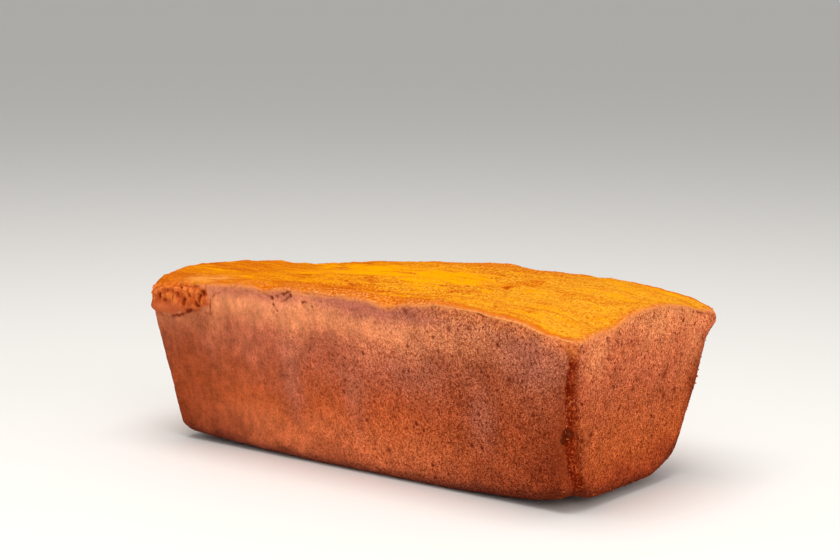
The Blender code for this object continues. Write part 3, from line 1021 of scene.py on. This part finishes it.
# Walls: the browning by height, with its painted highlight and shade, then the soft streaks, the crumb
# and the open pores, painted dark red as shade in them, which are fewer and softer on the torn
# corner's half of the loaf and on the pale shoulder.
openness = times(
    share_of(along_x, -0.070, 0.040, 0.45, 1.40),
    share_of(times(share_of(height_up, 50.0, 60.0), mark("wall_middle")), 0.0, 1.0, 1.0, 0.55),
    share_of(on_end, 0.0, 1.0, 1.0, 1.08),
    share_of(mark("peach_highlight"), 0.1, 0.7, 1.0, 0.6),
)
small_pores = share_of(mottle(0.00085, 1.0, 0.5, upright), 0.30, 0.36, 1.0, 0.0)
large_pores = sums("MAXIMUM", pores(0.0040, 0.00052, upright), pores(0.0110, 0.00080, upright))
pitting = times(sums("MAXIMUM", times(small_pores, 0.7), large_pores), openness)

uneven_height = wandering(wandering(height_up, broad, 26.0), middling, 5.0)
wall_tint = layered(
    by_height(uneven_height, CORNER_BY_HEIGHT),
    (tinted("wall_middle"), by_height(uneven_height, MIDDLE_BY_HEIGHT)),
    (on_end, by_height(uneven_height, END_BY_HEIGHT)),
    (tinted("shade"), SHADE),
    (tinted("bloom_and_rim_shadow"), BLOOM_AND_RIM_SHADOW),
    (tinted("peach_highlight"), PEACH_HIGHLIGHT),
)
# Painted shade along the base's edge, darkest just above the table.
base_edge_shade = share_of(sums("MULTIPLY_ADD", middling, 3.0, mark("above_base")), 3.0, 8.0, 1.0, 0.0)
wall_tint = toned(wall_tint, BASE_EDGE_SHADE, base_edge_shade)
# The purple band just under the rim, darkened there with painted shadow of the rim's overhang.
below_rim = sums("MULTIPLY_ADD", middling, 0.005, inside_rim)
band_and_shadow = times(share_of(below_rim, -0.0040, -0.0005), share_of(broad, 0.36, 0.56, 0.25, 0.8), off_end)
band_and_shadow_tint = layered(
    RIM_BAND_AND_SHADOW,
    (share_of(along_x, -0.050, -0.010, 1.0, 0.0), RIM_BAND_AND_SHADOW_FAR),
    (share_of(along_x, 0.020, 0.055), RIM_BAND_AND_SHADOW_NEAR),
)
wall_tint = blended(band_and_shadow, wall_tint, band_and_shadow_tint)
wall_tint = toned(wall_tint, share_of(streaky, 0.30, 0.70, 0.92, 1.07))
wall_tint = toned(wall_tint, share_of(middling, 0.32, 0.68, 0.88, 1.12))
away_from_crease = share_of(along_x, -0.020, 0.050, 1.0, 0.2)
wall_tint = toned(wall_tint, share_of(soft_streaks, 0.34, 0.66, 0.90, 1.10), away_from_crease)

crumb_tint = blended(share_of(crumb, 0.30, 0.60), CRUMB_DARK, CRUMB_PALE)
grain_tint = blended(share_of(grain, 0.30, 0.66), GRAIN_DARK, GRAIN_PALE)
sand_tint = blended(share_of(finest, 0.28, 0.62), SAND_DARK, SAND_PALE)
near_crease = times(
    share_of(along_x, 0.005, 0.065, 0.15, 0.9),
    share_of(mark("peach_highlight"), 0.1, 0.7, 1.0, 0.3),
    share_of(height_up, 36.0, 60.0, 1.1, 0.75),
)
rough_wall = toned(toned(wall_tint, crumb_tint), grain_tint)
rough_wall = toned(rough_wall, sand_tint, near_crease)
wall = layered(wall_tint, (times(openness, 0.8), rough_wall), (times(pitting, 0.7), PORE_SHADE_RED))

# Crust: gold, with orange wrinkles, the brighter yellow middle, toasted places, a band of toasted
# crumb along the rim, and a fine brown and pale grain all over.
wrinkled = mottle(0.0070, 4.0, 0.65, stretched(0.30, 1.5, 1.0))
streaked = mottle(0.0050, 3.0, 0.6, stretched(0.22, 1.3, 1.0))
patchy = mottle(0.0048, 3.0, 0.6, stretched(0.45, 0.9, 1.0))
sandy = stretched(1.2, 0.6, 1.0)
specks = mottle(0.0013, 2.0, 0.6, sandy)
sand = mottle(0.0007, 2.0, 0.6, sandy)
far_half = share_of(along_x, -0.060, -0.010, 1.0, 0.0)
wrinkliness = share_of(along_x, 0.030, 0.060, 1.0, 0.5)
sandiness = times(
    share_of(along_x, -0.060, 0.010, 0.30, 0.95),
    share_of(along_x, 0.030, 0.070, 1.0, 0.65),
)
yellow_middle = share_of(wandering(wandering(mark("yellow_middle"), broad, 1.0), streaked, 3.2), 0.0, 0.85)
pale_edge = times(
    tinted("pale_edge"),
    share_of(streaked, 0.36, 0.60, 0.25, 0.75),
    share_of(specks, 0.36, 0.56, 0.7, 1.0),
)
toast_reach = sums("MULTIPLY_ADD", near_end, 0.0075, sums("MULTIPLY_ADD", middling, -0.008, inside_rim))
rim_toast = times(
    share_of(toast_reach, 0.0030, 0.0085, 1.0, 0.0),
    share_of(broad, 0.30, 0.54, 0.6, 1.0),
    share_of(across_y, 0.0, 0.030, 1.0, 0.4),
    share_of(along_x, -0.075, -0.035, 0.25, 1.0),
)
rim_crumb = times(rim_toast, share_of(along_x, -0.070, -0.020, 0.15, 1.0))
over_lip = times(
    share_of(inside_rim, 0.0006, 0.0014),
    share_of(inside_rim, 0.0026, 0.0046, 1.0, 0.0),
    beside_end,
)
crust = layered(
    blended(share_of(wandering(along_x, broad, 0.10), -0.060, 0.075), CRUST_AMBER, CRUST_GOLD),
    (tinted("toasted", 0.8), CRUST_ORANGE),
    (share_of(wrinkled, 0.50, 0.66, 0.0, 0.55), CRUST_ORANGE),
    (times(share_of(streaked, 0.36, 0.47, 0.7, 0.0), wrinkliness), CRUST_ORANGE),
    (times(share_of(patchy, 0.34, 0.50, 0.6, 0.0), wrinkliness), CRUST_ORANGE),
    (times(share_of(streaked, 0.36, 0.50, 0.6, 0.0), far_half), CRUST_BROWN),
    (times(share_of(specks, 0.34, 0.52, 0.8, 0.0), sandiness), CRUST_BROWN),
    (times(share_of(sand, 0.34, 0.50, 0.7, 0.0), sandiness), CRUST_BROWN),
    (times(share_of(sand, 0.53, 0.66, 0.0, 0.75), sandiness), CRUST_PALE),
    (times(yellow_middle, share_of(specks, 0.34, 0.56, 0.76, 0.92)), CRUST_YELLOW_MIDDLE),
    (pale_edge, TOASTED_CRUMB),
    (times(rim_toast, 0.9), CRUST_ORANGE),
    (times(rim_crumb, share_of(specks, 0.38, 0.52, 1.0, 0.0)), CRUST_BROWN),
    (times(rim_crumb, share_of(crumb, 0.53, 0.63, 0.0, 0.9)), TOASTED_CRUMB),
    (times(over_lip, 0.8), CRUST_ORANGE),
)

# The edge between them: a pale crumbly fringe along the rim, and a painted highlight along the thin lip
# near the crease.
# Under its other end are the torn corner's lumps, with painted highlight on their crests and painted
# shade in the hollows between them.
ragged = sums("MULTIPLY_ADD", sums("ADD", sums("ADD", crumb, grain), middling), 0.0020, inside_rim)
over_torn = times(
    share_of(across_y, -0.040, -0.030, 1.0, 0.0), share_of(along_x, -0.088, -0.072, 0.9, 0.0)
)
fringe = layered(
    RIM_FRINGE,
    (over_torn, TORN_ORANGE),
    (share_of(crumb, 0.36, 0.52, 0.45, 0.0), TORN_LIP_PINK),
)
# A painted highlight along the lip's edge beside the end.
lip = times(
    share_of(inside_rim, -0.0012, -0.0004), share_of(inside_rim, 0.0, 0.0010, 1.0, 0.0), beside_end
)
torn = mark("torn")
lump = wandering(mark("torn_lump"), crumb, 1.6)
# Painted shade in the hollows between the lumps and painted highlight on their crests.
lumps_lit_and_shaded = layered(
    TORN_HOLLOW_SHADE,
    (share_of(lump, 0.0, 0.55), TORN_ORANGE),
    (share_of(lump, 0.45, 1.0), TORN_CREST_HIGHLIGHT),
    (share_of(height_up, 55.0, 61.0, 0.9, 0.0), TORN_LIP_PINK),
)

# The crease: dark red crumb with painted shadow at the edge that faces the long side, rough
# red-brown crumb across its floor, and painted shade on the long wall's edge as it rolls in.
round_crease = wandering(mark("round_crease"), middling, 2.4)
floor_crumb = sums("MULTIPLY_ADD", sums("ADD", round_crease, 1.0), 0.07, mottle(0.0017, 3.0, 0.65))
crease_crumb = layered(
    CREASE_CRUMB,
    (share_of(floor_crumb, 0.54, 0.76, 1.0, 0.0), CREASE_RED_AND_SHADOW),
    (share_of(crumb, 0.52, 0.64, 0.0, 0.6), CREASE_PALE),
    (share_of(inside_rim, -0.0090, -0.0035), toned(CREASE_MOUTH, crumb_tint)),
)
crease_edge_shade = times(
    share_of(round_crease, -9.0, -3.6), share_of(height_up, 34.0, 54.0, 0.5, 0.0), near_end, off_end
)
floor_edge = sums("SUBTRACT", round_crease, share_of(height_up, 40.0, 54.0, 0.0, 1.3))
crease_floor = times(
    share_of(mark("crease"), 0.15, 0.55),
    share_of(inside_rim, -0.0025, 0.0, 1.0, 0.0),
    share_of(floor_edge, -3.6, -2.4),
    share_of(round_crease, 0.6, 2.8, 0.95, 0.0),
)
scorched = share_of(sums("MULTIPLY_ADD", crumb, 0.9, mark("scorched")), 0.75, 1.20, 0.0, 0.92)

# The cracks and pits, painted darker as shade the deeper they are, and the whole skin.
on_crust = share_of(inside_rim, 0.0, 0.001)
crack_shade_tint = layered(WALL_CRACK_SHADE, (on_crust, CRUST_CRACK_SHADE), (torn, TORN_PIT_SHADE))
shaded_cracks = times(mark("crack_shade"), share_of(middling, 0.35, 0.60, 0.6, 1.0))
skin_tint = layered(
    wall,
    (share_of(ragged, 0.0004, 0.0026), fringe),
    (share_of(ragged, 0.0024, 0.0058), crust),
    (times(lip, 0.75), LIP_HIGHLIGHT),
    (times(torn, 0.9), lumps_lit_and_shaded),
    (crease_edge_shade, SHADE),
    (crease_floor, crease_crumb),
    (scorched, SCORCHED),
    (share_of(shaded_cracks, 0.08, 0.75, 0.0, 0.9), crack_shade_tint),
)
feed(surface.inputs["Base Color"], skin_tint)
feed(surface.inputs["Roughness"], share_of(grain, 0.3, 0.7, 0.86, 0.74))

wall_height = sums("ADD", times(crumb, 0.8), times(grain, 0.4))
wall_height = times(sums("SUBTRACT", wall_height, pitting), 0.55)
crust_rise = sums("MULTIPLY_ADD", wrinkled, 0.6, sums("ADD", specks, times(sand, 0.8)))
relief = nodes.new("ShaderNodeMix")
feed(relief.inputs[0], on_crust)
feed(relief.inputs[2], wall_height)
feed(relief.inputs[3], sums("SUBTRACT", crust_rise, CRUST_ABOVE_WALL))
bump = nodes.new("ShaderNodeBump")
bump.inputs["Strength"].default_value = 1.0
bump.inputs["Distance"].default_value = BUMP_DEPTH
feed(bump.inputs["Height"], relief.outputs[0])
feed(surface.inputs["Normal"], bump.outputs["Normal"])
cake.data.materials.append(skin)
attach(cake, "root")
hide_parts("butter_cake")


# Loose crumbs of the same cake, stuck in small clusters where the paper pulled the skin away: down
# the crease, along the end's far edge and its base, and here and there on the rim.
CRUMB_PLACES = (
    # wanted number, and which points of the skin they stick to
    (50, lambda point, crease, rim: crease > 0.55 and rim < -0.004 and point.z < 0.045),
    (85, lambda point, crease, rim: point.x > 0.088 and point.y > 0.037 and point.z < 0.066),
    (45, lambda point, crease, rim: point.x > 0.088 and point.z < 0.009),
    (24, lambda point, crease, rim: point.y < 0.0 and point.x < 0.060 and abs(rim) < 0.0012),
    (30, lambda point, crease, rim: point.y > 0.030 and abs(rim) < 0.0020),
)
CRUMB_RADIUS = (0.00018, 0.00048)
CRUMB_SHRINK = (0.6, 1.1)
CRUMB_LEAN = (0.6, 1.4)
CRUMB_STANDS_OFF = 0.25
CRUMB_LUMPS = 1.7
CLUSTER_SIZE = 0.0045
LOOSE_PALE = (0.66, 0.170, 0.055)

dice = random.Random(11)
skin_points = []
for vertex in cake.data.vertices:
    marks = [cake.data.attributes[name].data[vertex.index].value for name in ("crease", "inside_rim")]
    if noise.noise(vertex.co / CLUSTER_SIZE) > 0.0:
        skin_points.append((vertex.co.copy(), vertex.normal.copy(), marks))
crumbs = bmesh.new()
for wanted, sticks in CRUMB_PLACES:
    choices = [spot for spot in skin_points if sticks(spot[0], *spot[2])]
    for point, outwards, _ in dice.sample(choices, min(wanted, len(choices))):
        radius = dice.uniform(*CRUMB_RADIUS) * dice.uniform(*CRUMB_SHRINK)
        made = bmesh.ops.create_icosphere(crumbs, subdivisions=1, radius=radius)["verts"]
        lean = Vector([dice.uniform(*CRUMB_LEAN) for _ in range(3)])
        middle = point + outwards * radius * CRUMB_STANDS_OFF
        for vertex in made:
            swell = 1.0 + 0.6 * noise.noise(vertex.co / radius * CRUMB_LUMPS + point / MM)
            vertex.co = middle + Vector([vertex.co[n] * lean[n] * swell for n in range(3)])
            keep_in_box(vertex)
loose_crumbs = finished("butter_cake_crumbs", crumbs)

crumb_skin, nodes, links, surface = new_material("loose_crumb")
surface.inputs["Specular IOR Level"].default_value = 0.03
surface.inputs["Roughness"].default_value = 0.85
place = nodes.new("ShaderNodeTexCoord").outputs["Object"]
by_rim = share_of(coordinates()[2], 0.062, 0.068)
pale_share = share_of(mottle(0.0016, 1.0, 0.5), 0.35, 0.65)
feed(
    surface.inputs["Base Color"],
    layered(CREASE_CRUMB, (pale_share, LOOSE_PALE), (by_rim, RIM_FRINGE)),
)
loose_crumbs.data.materials.append(crumb_skin)
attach(loose_crumbs, "root")


# The floor and light: a plain pale table under a large soft lamp overhead, with weaker ones by the
# camera and beyond the loaf's near end. The pale room lights the rest.
FLOOR_SIZE = 30.0
FLOOR_PALE = (0.80, 0.79, 0.77, 1.0)
FLOOR_ROUGHNESS = 0.7
LAMPS = (
    # name, place, size, power, colour
    ("overhead", (0.05, -0.20, 1.00), 0.8, 9.0, (1.0, 0.98, 0.95)),
    ("beside_camera", (0.75, -0.65, 0.55), 0.6, 2.2, (1.0, 0.97, 0.94)),
    ("beyond_end", (1.20, 0.00, 0.45), 0.6, 2.6, (1.0, 0.97, 0.94)),
)
LAMPS_AIM = Vector((0, 0, 0.04))
ROOM_WHITE = (1.0, 0.99, 0.97, 1.0)
ROOM_LIGHT = 0.50

table = bmesh.new()
bmesh.ops.create_grid(table, x_segments=1, y_segments=1, size=FLOOR_SIZE)
floor = finished("floor", table)
paint, _, _, surface = new_material("pale_floor")
surface.inputs["Base Color"].default_value = FLOOR_PALE
surface.inputs["Roughness"].default_value = FLOOR_ROUGHNESS
floor.data.materials.append(paint)

for name, lamp_place, size, power, colour in LAMPS:
    lamp = bpy.data.lights.new(name, "AREA")
    lamp.shape = "SQUARE"
    lamp.size = size
    lamp.energy = power
    lamp.color = colour
    holder = bpy.data.objects.new(name, lamp)
    holder.location = lamp_place
    holder.rotation_euler = (LAMPS_AIM - Vector(lamp_place)).to_track_quat("-Z", "Y").to_euler()
    bpy.context.scene.collection.objects.link(holder)
room = bpy.data.worlds.new("room")
room.use_nodes = True
background = room.node_tree.nodes["Background"]
background.inputs["Color"].default_value = ROOM_WHITE
background.inputs["Strength"].default_value = ROOM_LIGHT
bpy.context.scene.world = room
bpy.context.scene.view_settings.view_transform = "Standard"


# The camera, low at the loaf's near corner, where the photograph was taken from.
CAMERA_PLACE = Vector((0.46412, -0.61536, 0.18965))
CAMERA_TURN = math.radians(37.137)
CAMERA_DOWN = math.radians(8.759)
CAMERA_ROLL = math.radians(0.632)
CAMERA_LENS = 85.0
CAMERA_SENSOR = 36.0

looking = Vector(
    (
        -math.sin(CAMERA_TURN) * math.cos(CAMERA_DOWN),
        math.cos(CAMERA_TURN) * math.cos(CAMERA_DOWN),
        -math.sin(CAMERA_DOWN),
    )
)
lens = bpy.data.cameras.new("camera")
lens.lens = CAMERA_LENS
lens.sensor_width = CAMERA_SENSOR
camera = bpy.data.objects.new("camera", lens)
camera.location = CAMERA_PLACE
camera.rotation_mode = "QUATERNION"
camera.rotation_quaternion = looking.to_track_quat("-Z", "Y") @ Quaternion((0, 0, 1), CAMERA_ROLL)
bpy.context.scene.collection.objects.link(camera)
bpy.context.scene.camera = camera
